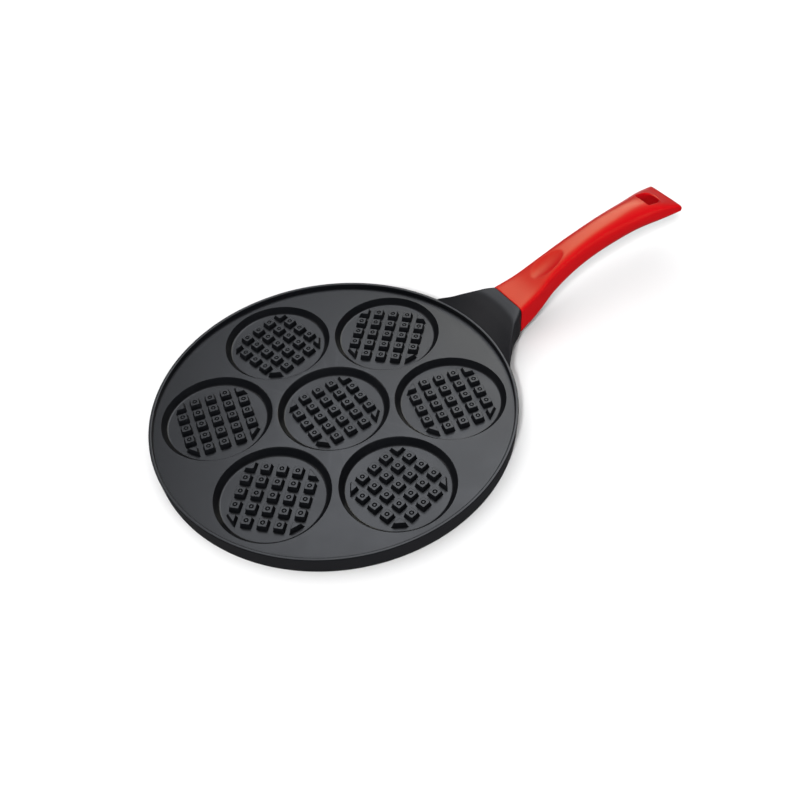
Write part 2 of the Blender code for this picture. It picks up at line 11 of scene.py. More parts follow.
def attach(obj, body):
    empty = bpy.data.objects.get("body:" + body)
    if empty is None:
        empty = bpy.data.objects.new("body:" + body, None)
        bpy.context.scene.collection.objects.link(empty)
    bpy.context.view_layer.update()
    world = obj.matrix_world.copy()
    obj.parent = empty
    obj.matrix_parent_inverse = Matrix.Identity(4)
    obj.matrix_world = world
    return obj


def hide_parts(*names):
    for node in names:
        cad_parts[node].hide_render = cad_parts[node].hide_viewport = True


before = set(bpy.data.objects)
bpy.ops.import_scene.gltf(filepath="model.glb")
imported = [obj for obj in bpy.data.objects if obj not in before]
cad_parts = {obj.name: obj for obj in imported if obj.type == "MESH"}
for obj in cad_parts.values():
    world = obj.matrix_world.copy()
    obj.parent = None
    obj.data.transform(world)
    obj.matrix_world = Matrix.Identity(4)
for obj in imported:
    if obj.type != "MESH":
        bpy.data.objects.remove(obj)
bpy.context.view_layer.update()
print("frame loaded:", ", ".join(sorted(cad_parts)))


# Small helpers

def addObject(name, mesh):
    item = bpy.data.objects.new(name, mesh)
    bpy.context.scene.collection.objects.link(item)
    return item


def meshOf(name, bm, *materials):
    mesh = bpy.data.meshes.new(name)
    bm.to_mesh(mesh)
    bm.free()
    for material in materials:
        mesh.materials.append(material)
    return mesh


def addSolid(name, bm, *materials):
    bmesh.ops.recalc_face_normals(bm, faces=bm.faces)
    return addObject(name, meshOf(name, bm, *materials))


def removeObjects(*items):
    for item in items:
        bpy.data.objects.remove(item, do_unlink=True)


def bakeModifiers(item):
    # The modifiers' result becomes the object's own plain mesh
    bpy.context.view_layer.update()
    graph = bpy.context.evaluated_depsgraph_get()
    mesh = bpy.data.meshes.new_from_object(item.evaluated_get(graph), depsgraph=graph)
    item.modifiers.clear()
    item.data = mesh
    return item


def combine(item, tools):
    # tools holds (object, operation); each tool hands on its own materials
    for tool, operation in tools:
        step = item.modifiers.new(tool.name, "BOOLEAN")
        step.object = tool
        step.operation = operation
        step.solver = "EXACT"
        step.material_mode = "TRANSFER"
    bakeModifiers(item)
    removeObjects(*{tool for tool, operation in tools})
    return item


shading = {
    "castEdge": math.radians(38),
    "steelEdge": math.radians(34),
    "footEdge": math.radians(40),
    "flatReach": math.radians(20),
    "flatCorners": 12,
    "faceWeight": 100,
}


def smoothShade(item, sharpAngle=shading["castEdge"]):
    # Faces of many corners are flats: they keep their own normals, and so do their borders
    item.data.shade_smooth()
    item.data.set_sharp_from_angle(angle=sharpAngle)
    step = item.modifiers.new("weighted normals", "WEIGHTED_NORMAL")
    step.mode = "FACE_AREA"
    step.weight = shading["faceWeight"]
    step.keep_sharp = True
    bakeModifiers(item)
    mesh = item.data
    normals = [corner.vector.copy() for corner in mesh.corner_normals]
    flats = {}
    for face in mesh.polygons:
        if len(face.vertices) > shading["flatCorners"]:
            for vertex in face.vertices:
                flats.setdefault(vertex, []).append(face.normal.copy())
    for face in mesh.polygons:
        for loop in face.loop_indices:
            for flat in flats.get(mesh.loops[loop].vertex_index, ()):
                if flat.angle(face.normal) < shading["flatReach"]:
                    normals[loop] = flat
    mesh.normals_split_custom_set(normals)
    return item


def smoothValue(places, values, at):
    # A cubic through the stations, whose slope at each is that between its neighbours
    last = len(places) - 1
    index = max([i for i in range(last) if at >= places[i]], default=0)

    def slope(station):
        low, high = max(station - 1, 0), min(station + 1, last)
        return (values[high] - values[low]) / (places[high] - places[low])

    span = places[index + 1] - places[index]
    u = (at - places[index]) / span
    value = (2 * u ** 3 - 3 * u ** 2 + 1) * values[index]
    value += (u ** 3 - 2 * u ** 2 + u) * span * slope(index)
    value += (3 * u ** 2 - 2 * u ** 3) * values[index + 1]
    return value + (u ** 3 - u ** 2) * span * slope(index + 1)


def roundedProfile(corners, steps):
    # corners holds (radius, height, rounding); a rounded corner becomes a short curve
    points = []
    for place, (radius, height, rounding) in enumerate(corners):
        here = Vector((radius, height))
        if rounding == 0:
            points.append(here)
            continue
        before = Vector(corners[place - 1][:2]) - here
        after = Vector(corners[(place + 1) % len(corners)][:2]) - here
        start = here + before.normalized() * rounding
        end = here + after.normalized() * rounding
        for step in range(steps + 1):
            share = step / steps
            points.append(start.lerp(here, share).lerp(here.lerp(end, share), share))
    return points


def quarterTurn(bends):
    # The two shares of a rounding, down and back, at each step of a quarter turn
    turns = [math.pi / 2 * k / bends for k in range(bends + 1)]
    return [(1 - math.cos(turn), 1 - math.sin(turn)) for turn in turns]


def joinLoops(bm, loops, closed=False, caps=True):
    # Loops of equal counts, joined by four-sided faces and closed at both ends
    pairs = list(zip(loops, loops[1:]))
    if closed:
        pairs.append((loops[-1], loops[0]))
    for first, second in pairs:
        for k in range(len(first)):
            after = (k + 1) % len(first)
            bm.faces.new((first[k], first[after], second[after], second[k]))
    if caps and not closed:
        for loop in (loops[0], loops[-1]):
            bm.faces.new(loop)


def ringPoints(radius, height, steps, start=0):
    turns = [2 * math.pi * (k + start) / steps for k in range(steps)]
    return [(radius * math.cos(a), radius * math.sin(a), height) for a in turns]


def lathe(name, profile, steps, *materials, closed=False):
    bm = bmesh.new()
    rings = [ringPoints(radius, height, steps) for radius, height in profile]
    joinLoops(bm, [[bm.verts.new(point) for point in ring] for ring in rings], closed)
    return addSolid(name, bm, *materials)


def copyTo(item, places):
    # The object's mesh again at each place, as one object
    bm = bmesh.new()
    for place in places:
        start = len(bm.verts)
        bm.from_mesh(item.data)
        bm.verts.ensure_lookup_table()
        bmesh.ops.transform(bm, matrix=place, verts=bm.verts[start:])
    item.data = meshOf(item.name, bm, *item.data.materials)
    return item


# Shader groups that several finishes share

def newShaderGroup(name, inputs, outputs):
    tree = bpy.data.node_groups.new(name, "ShaderNodeTree")
    kind = "NodeSocketFloat"
    for label, value in inputs.items():
        tree.interface.new_socket(name=label, in_out="INPUT", socket_type=kind).default_value = value
    for label in outputs:
        tree.interface.new_socket(name=label, in_out="OUTPUT", socket_type=kind)
    return tree, tree.nodes.new("NodeGroupInput"), tree.nodes.new("NodeGroupOutput")


def objectNoise(tree, scaleSocket, detail, roughness):
    # Noise in the object's own metres
    coords = tree.nodes.new("ShaderNodeTexCoord")
    noise = tree.nodes.new("ShaderNodeTexNoise")
    noise.inputs["Detail"].default_value = detail
    noise.inputs["Roughness"].default_value = roughness
    tree.links.new(coords.outputs["Object"], noise.inputs["Vector"])
    tree.links.new(scaleSocket, noise.inputs["Scale"])
    return noise.outputs["Fac"]


def mathNode(tree, operation, *values):
    node = tree.nodes.new("ShaderNodeMath")
    node.operation = operation
    for socket, value in zip(node.inputs, values):
        if isinstance(value, (int, float)):
            socket.default_value = value
        else:
            tree.links.new(value, socket)
    return node.outputs[0]


def rangeNode(tree, value, *ends):
    # ends are the low and high that come in, and the low and high that they become
    node = tree.nodes.new("ShaderNodeMapRange")
    node.interpolation_type = "SMOOTHSTEP"
    for label, amount in zip(("From Min", "From Max", "To Min", "To Max"), ends):
        if isinstance(amount, (int, float)):
            node.inputs[label].default_value = amount
        else:
            tree.links.new(amount, node.inputs[label])
    tree.links.new(value, node.inputs["Value"])
    return node.outputs["Result"]


# Noises hold their detail and roughness; spans hold what comes in and what it becomes
grainMarks = {"grain": (3.0, 0.6), "swell": (2.0, 0.5), "patches": (4.0, 0.55), "patchSize": 14.0,
              "patchSpan": (0.3, 0.72, 0.0, 1.0)}
rubMarks = {"breaks": (4.0, 0.6), "breakSpan": (0.35, 0.6, 0.25, 1.0)}


def makeFineGrain():
    # The fine grain of a sprayed or moulded skin, as a height, and soft patches of gloss
    tree, given, result = newShaderGroup(
        "fineGrain", {"Grain Scale": 2600.0, "Swell Scale": 420.0, "Swell": 0.4}, ["Height", "Patches"])
    grain = objectNoise(tree, given.outputs["Grain Scale"], *grainMarks["grain"])
    swell = objectNoise(tree, given.outputs["Swell Scale"], *grainMarks["swell"])
    height = mathNode(tree, "ADD", grain, mathNode(tree, "MULTIPLY", swell, given.outputs["Swell"]))
    patchScale = mathNode(tree, "DIVIDE", given.outputs["Swell Scale"], grainMarks["patchSize"])
    patches = objectNoise(tree, patchScale, *grainMarks["patches"])
    tree.links.new(height, result.inputs["Height"])
    tree.links.new(rangeNode(tree, patches, *grainMarks["patchSpan"]), result.inputs["Patches"])
    return tree


def makeEdgeRub():
    # Where edges stand proud: the first places to be rubbed bright
    tree, given, result = newShaderGroup(
        "edgeRub", {"Start": 0.54, "Full": 0.66, "Break Scale": 700.0}, ["Mask"])
    geometry = tree.nodes.new("ShaderNodeNewGeometry")
    breaks = objectNoise(tree, given.outputs["Break Scale"], *rubMarks["breaks"])
    edge = rangeNode(tree, geometry.outputs["Pointiness"], given.outputs["Start"], given.outputs["Full"],
                     0.0, 1.0)
    broken = rangeNode(tree, breaks, *rubMarks["breakSpan"])
    tree.links.new(mathNode(tree, "MULTIPLY", edge, broken), result.inputs["Mask"])
    return tree


shaderGroups = {"fineGrain": makeFineGrain(), "edgeRub": makeEdgeRub()}


def useGroup(tree, name, values):
    node = tree.nodes.new("ShaderNodeGroup")
    node.node_tree = shaderGroups[name]
    for label, value in values.items():
        node.inputs[label].default_value = value
    return node


def mixColours(tree, mask, plain, marked):
    node = tree.nodes.new("ShaderNodeMix")
    node.data_type = "RGBA"
    tree.links.new(mask, node.inputs["Factor"])
    for socket, colour in ((node.inputs[6], plain), (node.inputs[7], marked)):
        if isinstance(colour, tuple):
            socket.default_value = (*colour, 1)
        else:
            tree.links.new(colour, socket)
    return node.outputs[2]


def addBump(tree, shader, height, strength, depth):
    bump = tree.nodes.new("ShaderNodeBump")
    bump.inputs["Strength"].default_value = strength
    bump.inputs["Distance"].default_value = depth
    tree.links.new(height, bump.inputs["Height"])
    tree.links.new(bump.outputs["Normal"], shader.inputs["Normal"])


def newFinish(name, constants):
    material = bpy.data.materials.new(name)
    material.use_nodes = True
    shader = material.node_tree.nodes["Principled BSDF"]
    for label, value in constants.items():
        shader.inputs[label].default_value = value
    return material, material.node_tree, shader


def sprayedFinish(name, finish):
    # A skin with fine grain, soft patches of gloss and rubbed edges
    material, tree, shader = newFinish(name, finish["constants"])
    grain = useGroup(tree, "fineGrain", finish["grain"])
    rub = useGroup(tree, "edgeRub", finish["rub"])
    patchy = mixColours(tree, grain.outputs["Patches"], finish["colour"], finish["patchColour"])
    rubbed = mathNode(tree, "MULTIPLY", rub.outputs["Mask"], finish["rubAmount"])
    tree.links.new(mixColours(tree, rubbed, patchy, finish["rubColour"]), shader.inputs["Base Color"])
    low, high = finish["roughness"]
    tree.links.new(rangeNode(tree, grain.outputs["Patches"], 0.0, 1.0, low, high), shader.inputs["Roughness"])
    addBump(tree, shader, grain.outputs["Height"], finish["bumpStrength"], finish["bumpDepth"])
    return material


cookingCoat = {
    "colour": (0.0024, 0.0027, 0.0034),
    "patchColour": (0.0032, 0.0035, 0.0043),
    "rubColour": (0.020, 0.021, 0.024),
    "rubAmount": 0.25,
    "roughness": (0.34, 0.39),
    "bumpStrength": 0.22,
    "bumpDepth": 0.00006,
    "grain": {"Grain Scale": 2400.0, "Swell Scale": 380.0, "Swell": 0.5},
    "rub": {"Start": 0.53, "Full": 0.64, "Break Scale": 800.0},
    "constants": {"Specular IOR Level": 0.25},
}
outerCoat = {
    "colour": (0.0080, 0.0082, 0.0096),
    "patchColour": (0.0098, 0.0100, 0.0114),
    "rubColour": (0.035, 0.036, 0.038),
    "rubAmount": 0.3,
    "roughness": (0.40, 0.47),
    "bumpStrength": 0.25,
    "bumpDepth": 0.00008,
    "grain": {"Grain Scale": 1900.0, "Swell Scale": 300.0, "Swell": 0.6},
    "rub": {"Start": 0.53, "Full": 0.64, "Break Scale": 700.0},
    "constants": {"Specular IOR Level": 0.18},
}
softTouch = {
    "colour": (0.390, 0.0022, 0.0052),
    "patchColour": (0.375, 0.0021, 0.0049),
    "rubColour": (0.460, 0.014, 0.013),
    "rubAmount": 0.25,
    "roughness": (0.33, 0.38),
    "bumpStrength": 0.16,
    "bumpDepth": 0.00005,
    "grain": {"Grain Scale": 3200.0, "Swell Scale": 260.0, "Swell": 0.35},
    "rub": {"Start": 0.54, "Full": 0.68, "Break Scale": 500.0},
    "constants": {"Specular IOR Level": 0.24, "Specular Tint": (1.0, 0.95, 0.40, 1.0)},
}
plasticInside = {
    "colour": (0.50, 0.010, 0.011),
    "patchColour": (0.46, 0.009, 0.010),
    "rubColour": (0.60, 0.03, 0.03),
    "rubAmount": 0.2,
    "roughness": (0.48, 0.56),
    "bumpStrength": 0.2,
    "bumpDepth": 0.00005,
    "grain": {"Grain Scale": 1500.0, "Swell Scale": 300.0, "Swell": 0.3},
    "rub": {"Start": 0.54, "Full": 0.68, "Break Scale": 500.0},
    "constants": {},
}
zincSteel = {
    "colour": (0.56, 0.57, 0.59),
    "patchColour": (0.48, 0.49, 0.51),
    "rubColour": (0.75, 0.75, 0.76),
    "rubAmount": 0.7,
    "roughness": (0.26, 0.40),
    "bumpStrength": 0.2,
    "bumpDepth": 0.00003,
    "grain": {"Grain Scale": 2800.0, "Swell Scale": 700.0, "Swell": 0.4},
    "rub": {"Start": 0.53, "Full": 0.62, "Break Scale": 1500.0},
    "constants": {"Metallic": 1.0},
}


groundMetal = {
    "constants": {"Metallic": 1.0, "Anisotropic": 0.5},
    "markScale": 2200.0,
    "markDetail": 4.0,
    "dark": (0.50, 0.505, 0.52),
    "bright": (0.70, 0.70, 0.71),
    "stain": (0.36, 0.35, 0.34),
    "stainAmount": 0.25,
    "roughnessSpan": (0.2, 0.8, 0.24, 0.40),
    "grain": {"Grain Scale": 1500.0, "Swell Scale": 500.0, "Swell": 0.3},
    "grainShare": 0.15,
    "bumpStrength": 0.5,
    "bumpDepth": 0.00006,
}


def groundAluminium(name, finish):
    # Lathe marks follow the ring radius that each foot carries as an attribute
    material, tree, shader = newFinish(name, finish["constants"])
    radius = tree.nodes.new("ShaderNodeAttribute")
    radius.attribute_name = "ringRadius"
    marks = tree.nodes.new("ShaderNodeTexNoise")
    marks.noise_dimensions = "1D"
    marks.inputs["Scale"].default_value = finish["markScale"]
    marks.inputs["Detail"].default_value = finish["markDetail"]
    tree.links.new(radius.outputs["Fac"], marks.inputs["W"])
    grain = useGroup(tree, "fineGrain", finish["grain"])
    colour = mixColours(tree, marks.outputs["Fac"], finish["dark"], finish["bright"])
    stained = mathNode(tree, "MULTIPLY", grain.outputs["Patches"], finish["stainAmount"])
    tree.links.new(mixColours(tree, stained, colour, finish["stain"]), shader.inputs["Base Color"])
    roughness = rangeNode(tree, marks.outputs["Fac"], *finish["roughnessSpan"])
    tree.links.new(roughness, shader.inputs["Roughness"])
    fine = mathNode(tree, "MULTIPLY", grain.outputs["Height"], finish["grainShare"])
    height = mathNode(tree, "ADD", marks.outputs["Fac"], fine)
    addBump(tree, shader, height, finish["bumpStrength"], finish["bumpDepth"])
    return material


cookingSkin = sprayedFinish("cookingSkin", cookingCoat)
outerSkin = sprayedFinish("outerSkin", outerCoat)
redSkin = sprayedFinish("redSkin", softTouch)
redCore = sprayedFinish("redCore", plasticInside)
zincSkin = sprayedFinish("zincSkin", zincSteel)
groundSkin = groundAluminium("groundSkin", groundMetal)
print("finishes made")


# The casting

casting = {
    "rimRadius": 0.1325,
    "lipWidth": 0.0026,
    "lipHeight": 0.0030,
    "lipRound": 0.0007,
    "lipInnerRound": 0.0011,
    "rimLand": 0.0048,
    "plateThickness": 0.0035,
    "skirtThickness": 0.0028,
    "skirtDraft": 0.0010,
    "skirtLift": 0.0006,
    "cupsAround": 6,
    "firstCupAngle": math.radians(30),
    "cupWeb": 0.0039,
    "cupDepth": 0.0055,
    "cupWallRun": 0.0039,
    "cupEdgeRound": 0.0013,
    "cupFloorRound": 0.0010,
    "floorThickness": 0.0065,
    "padFlare": 0.0022,
    "padWall": 0.0022,
    "padEdgeRound": 0.0008,
    "rimSteps": 288,
    "cupSteps": 160,
    "roundSteps": 6,
    "overrun": 0.0010,
    "hairParts": 60,
    "hair": 0.00001,
    "steepShare": 0.2,
}
gridTurns = {"middle": 0.0, "first": math.radians(45), "step": math.radians(58), "shares": (0, 1, -1)}

plateTop = casting["floorThickness"] + casting["cupDepth"]
plateUnder = plateTop - casting["plateThickness"]
lipTop = plateTop + casting["lipHeight"]
cupRadius = (casting["rimRadius"] - casting["lipWidth"] - casting["rimLand"] - casting["cupWeb"]) / 3
cupRing = 2 * cupRadius + casting["cupWeb"]
cupFloorRadius = cupRadius - casting["cupWallRun"]
padRadius = cupFloorRadius + casting["padWall"]


def cupSpots():
    # Centre and turn of each grid: the middle cup, then the six around it
    spots = [(Vector((0, 0, 0)), gridTurns["middle"])]
    for index in range(casting["cupsAround"]):
        angle = casting["firstCupAngle"] + 2 * math.pi * index / casting["cupsAround"]
        turn = gridTurns["first"] + gridTurns["step"] * gridTurns["shares"][index % 3]
        spots.append((Vector((math.cos(angle), math.sin(angle), 0)) * cupRing, turn))
    return spots


def plateProfile():
    size = casting
    rim, lip, bend = size["rimRadius"], size["lipWidth"], size["lipRound"]
    foot = rim - size["skirtDraft"]
    return roundedProfile([
        (rim - lip, plateTop, bend), (rim - lip, lipTop, size["lipInnerRound"]), (rim, lipTop, bend),
        (foot, size["skirtLift"], bend), (foot - size["skirtThickness"], size["skirtLift"], bend),
        (rim - size["skirtThickness"] - bend, plateUnder, 2 * bend),
    ], size["roundSteps"])


def discProfile():
    # The plate's flat stretches end in the caps' edges, well inside the rim
    inner = cupRing / 4
    return [Vector((inner, plateTop))] + plateProfile() + [Vector((inner, plateUnder))]


def cupProfile():
    # The rounded edge runs a hair above the plate, so that it is cut cleanly
    size = casting
    hair = size["cupEdgeRound"] / size["hairParts"]
    wall = Vector((size["cupWallRun"], size["cupDepth"])).normalized()
    edge = Vector((cupRadius, plateTop + hair))
    start = edge + Vector((size["cupEdgeRound"], 0))
    points = [Vector((start.x, plateTop + size["overrun"])), start]
    steps = size["roundSteps"]
    for step in range(1, steps + 1):
        share = step / steps
        end = edge - wall * size["cupEdgeRound"]
        points.append(start.lerp(edge, share).lerp(edge.lerp(end, share), share))
    floor = roundedProfile([
        (points[-1].x, points[-1].y, 0),
        (cupFloorRadius, size["floorThickness"], size["cupFloorRound"]),
        (cupFloorRadius / 2, size["floorThickness"], 0)], steps)
    return points + floor[1:]


def padProfile():
    size = casting
    top = plateUnder + size["plateThickness"] / 2
    return roundedProfile([
        (padRadius + size["padFlare"], top, 0), (padRadius + size["padFlare"], plateUnder, size["lipRound"]),
        (padRadius, feet["recess"], size["padEdgeRound"]), (padRadius / 2, feet["recess"], 0)],
        size["roundSteps"])


neck = {
    "length": 0.0245,
    "rootWidth": 0.0972,
    "rootDrop": 0.0006,
    "rootFoot": 0.0040,
    "wall": 0.0034,
    "endWall": 0.0060,
    "edgeRound": 0.0004,
    "edgeBends": 4,
    "stepsAlong": 48,
    "stepsRound": 112,
    "alongShares": (0.0, 0.1, 0.25, 0.45, 0.65, 0.85, 1.0),
    "widthShares": (1.0, 0.88, 0.67, 0.44, 0.245, 0.12, 0.0),
    "riseShares": (0.0, 0.15, 0.36, 0.64, 0.855, 0.95, 1.0),
    "footShares": (0.0, 0.1, 0.25, 0.45, 0.65, 0.85, 1.0),
    "squareShares": (20.0, 20.0, 18.0, 15.0, 12.0, 10.0, 9.0),
}
joint = {"width": 0.0350, "depth": 0.0246, "height": 0.0193, "gap": 0.0003}
jointX = casting["rimRadius"] + neck["length"]

tongue = {
    "tilt": math.radians(24),
    "raise": 0.0012,
    "length": 0.0260,
    "root": 0.0030,
    "width": 0.0150,
    "depth": 0.0090,
    "rounding": 0.0010,
    "bends": 4,
    "tapReach": 0.7,
}
outlineSpread = {"fineSteps": 720, "byLength": 0.6, "byTurning": 0.4}


def sectionOutline(halfWidth, halfDepth, squareness, count):
    # Points are spread partly by length and partly by turning, so flats and corners both get some
    fine, turns = [], outlineSpread["fineSteps"]
    for k in range(turns):
        c, s = math.cos(2 * math.pi * k / turns), math.sin(2 * math.pi * k / turns)
        fine.append(Vector((math.copysign(abs(c) ** (2 / squareness), c) * halfWidth,
                            math.copysign(abs(s) ** (2 / squareness), s) * halfDepth)))
    steps = [fine[(k + 1) % turns] - fine[k] for k in range(turns)]
    length = sum(step.length for step in steps)
    places = [0.0]
    for k, step in enumerate(steps):
        turned = step.angle(steps[k - 1], 0.0)
        places.append(places[-1] + outlineSpread["byLength"] * step.length / length
                      + outlineSpread["byTurning"] * turned / (2 * math.pi))
    points, k = [], 0
    for index in range(count):
        goal = places[-1] * index / count
        while places[k + 1] < goal:
            k += 1
        share = (goal - places[k]) / (places[k + 1] - places[k])
        points.append(fine[k].lerp(fine[(k + 1) % turns], share))
    return points


def neckRing(share, inset, foot):
    # share runs from 0 at the rim, whose curve the wing follows, to 1 at the straight joint
    along = neck["alongShares"]
    spread = smoothValue(along, neck["widthShares"], share)
    rise = smoothValue(along, neck["riseShares"], share)
    square = smoothValue(along, neck["squareShares"], share)
    halfWidth = (joint["width"] + (neck["rootWidth"] - joint["width"]) * spread) / 2
    rootTop = lipTop - neck["rootDrop"]
    jointTop = joint["height"] + joint["depth"] / 2
    top = rootTop + (jointTop - rootTop) * rise - inset
    rim = casting["rimRadius"] - casting["lipWidth"] / 2
    ring = []
    for y, up in sectionOutline(halfWidth - inset, (top - foot) / 2, square, neck["stepsRound"]):
        start = math.sqrt(rim ** 2 - (y / halfWidth * neck["rootWidth"] / 2) ** 2)
        ring.append((start + (jointX - start) * share, y, (top + foot) / 2 + up))
    return ring


def neckFoot(share):
    drop = smoothValue(neck["alongShares"], neck["footShares"], share)
    return neck["rootFoot"] + (joint["height"] - joint["depth"] / 2 - neck["rootFoot"]) * drop


def loftObject(name, rings, material):
    bm = bmesh.new()
    loops = [[bm.verts.new(point) for point in ring] for ring in rings]
    joinLoops(bm, loops, caps=False)
    # The end rings bend, so strips between their upper and lower points close them and stay flat
    for loop in (loops[0], loops[-1]):
        for k in range(len(loop) // 2):
            strip = dict.fromkeys((loop[k], loop[k + 1], loop[-k - 1], loop[-k]))
            bm.faces.new(list(strip))
    return addSolid(name, bm, material)


def makeNeckWing():
    steps = neck["stepsAlong"]
    rings = [neckRing(k / steps, 0, neckFoot(k / steps)) for k in range(steps)]
    # The edge at the joint is broken by a small rounding
    rounding = neck["edgeRound"]
    end = neckRing(1, 0, neckFoot(1))
    middle = Vector((jointX, 0, joint["height"]))
    for down, off in quarterTurn(neck["edgeBends"]):
        shrink = 1 - rounding * down / (joint["depth"] / 2)
        back = rounding * off
        rings.append([(p[0] - back, p[1] * shrink, middle.z + (p[2] - middle.z) * shrink) for p in end])
    return loftObject("neckWing", rings, outerSkin)


def makeNeckHollow():
    length = neck["length"] + casting["lipWidth"] / 2
    first = (neck["wall"] + casting["lipWidth"] / 2) / length
    last = 1 - neck["endWall"] / length
    steps = neck["stepsAlong"] // 2
    shares = [first + (last - first) * k / steps for k in range(steps + 1)]
    return loftObject("neckHollow", [neckRing(s, neck["wall"], -joint["depth"]) for s in shares], outerSkin)


def tongueFrame():
    start = Vector((jointX, 0, joint["height"] + tongue["raise"]))
    return Matrix.Translation(start) @ Matrix.Rotation(-tongue["tilt"], 4, "Y")


def screwFrame():
    return tongueFrame() @ Matrix.Translation((screw["place"], 0, 0))


def tongueBlock(name, grow, material):
    length = tongue["length"] + tongue["root"] + grow
    size = Matrix.Diagonal((length, tongue["width"] + 2 * grow, tongue["depth"] + 2 * grow, 1))
    middle = Matrix.Translation((length / 2 - tongue["root"], 0, 0))
    bm = bmesh.new()
    bmesh.ops.create_cube(bm, size=1, matrix=tongueFrame() @ middle @ size)
    bmesh.ops.bevel(bm, geom=bm.edges[:], offset=tongue["rounding"], segments=tongue["bends"], profile=0.5,
                    affect="EDGES")
    return addSolid(name, bm, material)


feet = {"recess": 0.00012, "thickness": 0.00040, "ridges": 30, "ridgeDepth": 0.00003, "steps": 96,
        "middleParts": 60}
screw = {
    "place": 0.0125,
    "diameter": 0.0050,
    "pitch": 0.0008,
    "tipChamfer": 0.0008,
    "tipBack": 0.0006,
    "headDiameter": 0.0092,
    "headHeight": 0.0030,
    "headRound": 0.0014,
    "crossWidth": 0.0011,
    "crossLength": 0.0050,
    "crossDepth": 0.0018,
    "crossTaper": 0.62,
    "threadShare": 0.5,
    "headEdge": 0.0001,
    "bends": 8,
    "steps": 64,
}


def screwHole(name, radius, top, bottom, material, mouthGrow=0):
    item = lathe(name, [(radius, top), (radius + mouthGrow, bottom)], screw["steps"], material)
    item.data.transform(screwFrame())
    return item


def makeCasting():
    body = lathe("panCasting", discProfile(), casting["rimSteps"], cookingSkin, outerSkin)
    # The cooking side ends on the lip's crown; the skirt and the underside have the outer coat
    crown = casting["rimRadius"] - casting["lipRound"] / 2
    for face in body.data.polygons:
        beneath = face.center.z < plateUnder + casting["hair"]
        if face.normal.z < casting["steepShare"] and (face.center.xy.length > crown or beneath):
            face.material_index = 1
    places = [Matrix.Translation(centre) for centre, turn in cupSpots()]
    pads = copyTo(lathe("pads", padProfile(), casting["cupSteps"], outerSkin), places)
    cups = copyTo(lathe("cups", cupProfile(), casting["cupSteps"], cookingSkin), places)
    reach = tongue["tapReach"] * tongue["depth"]
    tapped = screwHole("tappedHole", screw["diameter"] / 2 + joint["gap"], reach, -reach, outerSkin)
    combine(body, [
        (pads, "UNION"), (cups, "DIFFERENCE"), (makeNeckWing(), "UNION"), (makeNeckHollow(), "DIFFERENCE"),
        (tongueBlock("tongueCore", 0, outerSkin), "UNION"), (tapped, "DIFFERENCE")])
    smoothShade(body)
    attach(body, "root")
    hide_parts("pan_body")
    return body


# Waffle blocks, one shape for the full ones and one for the cut corner ones

blocks = {
    "across": 5,
    "pitch": 0.0114,
    "foot": 0.0078,
    "top": 0.0066,
    "height": 0.0038,
    "cornerRound": 0.0007,
    "topRound": 0.00030,
    "footFlare": 0.0004,
    "sink": 0.0004,
    "cornerMargin": 0.0039,
    "cornerReach": 0.45,
    "ringOuter": 0.00180,
    "ringInner": 0.00075,
    "ringDepth": 0.0008,
}


def roundedOutline(sides, inset, rounding):
    # sides holds (direction, distance) of each straight side, in turning order
    lines = [(Vector((math.cos(a), math.sin(a))), distance - inset) for a, distance in sides]
    corners = []
    for k, (normal, distance) in enumerate(lines):
        beyond, reach = lines[(k + 1) % len(lines)]
        area = normal.x * beyond.y - normal.y * beyond.x
        crossing = (distance * beyond.y - reach * normal.y, reach * normal.x - distance * beyond.x)
        corners.append(Vector(crossing) / area)
    points = []
    for k, corner in enumerate(corners):
        start = corner + (corners[k - 1] - corner).normalized() * rounding
        end = corner + (corners[(k + 1) % len(corners)] - corner).normalized() * rounding
        points += [start, start.lerp(end, 0.5).lerp(corner, 0.5), end]
    return points


def blockShape(name, sides, ringed):
    # Loops from the foot up, over the broken top edge, and down into the ring mark's groove
    size = blocks
    taper = (size["foot"] - size["top"]) / 2
    flare, bend, high = size["footFlare"], size["topRound"], size["height"]
    bm = bmesh.new()
    loops = []
    for inset, z in ((-flare, -size["sink"]), (0, flare), (taper, high - bend), (taper + bend, high)):
        outline = roundedOutline(sides, inset, size["cornerRound"])
        loops.append([bm.verts.new((x, y, z)) for x, y in outline])
    if ringed:
        outer, inner = size["ringOuter"], size["ringInner"]
        for radius, z in ((outer, high), ((outer + inner) / 2, high - size["ringDepth"]), (inner, high)):
            loops.append([bm.verts.new(point) for point in ringPoints(radius, z, len(loops[0]), 0.5)])
    joinLoops(bm, loops)
    # The top's borders shade crisp, and the corners round
    for loop in loops[3:]:
        for k, vertex in enumerate(loop):
            bm.edges.get((vertex, loop[(k + 1) % len(loop)])).smooth = False
    item = addSolid(name, bm)
    item.data.shade_smooth()
    return item


def newGeometryTree(name, inputs):
    tree = bpy.data.node_groups.new(name, "GeometryNodeTree")
    tree.interface.new_socket(name="Geometry", in_out="OUTPUT", socket_type="NodeSocketGeometry")
    tree.interface.new_socket(name="Geometry", in_out="INPUT", socket_type="NodeSocketGeometry")
    sockets = {}
    for label, kind in inputs.items():
        sockets[label] = tree.interface.new_socket(name=label, in_out="INPUT", socket_type=kind).identifier
    return tree, tree.nodes.new("NodeGroupInput"), tree.nodes.new("NodeGroupOutput"), sockets


def geometryNode(tree, kind, links, **settings):
    # links holds (input name, what feeds it), where a number is set and a socket is linked
    node = tree.nodes.new(kind)
    for label, value in settings.items():
        setattr(node, label, value)
    for label, value in links:
        if isinstance(value, bpy.types.NodeSocket):
            tree.links.new(value, node.inputs[label])
        else:
            node.inputs[label].default_value = value
    return node


def runTree(item, tree, sockets, values):
    step = item.modifiers.new(tree.name, "NODES")
    step.node_group = tree
    for label, value in values.items():
        step[sockets[label]] = value
    return bakeModifiers(item)


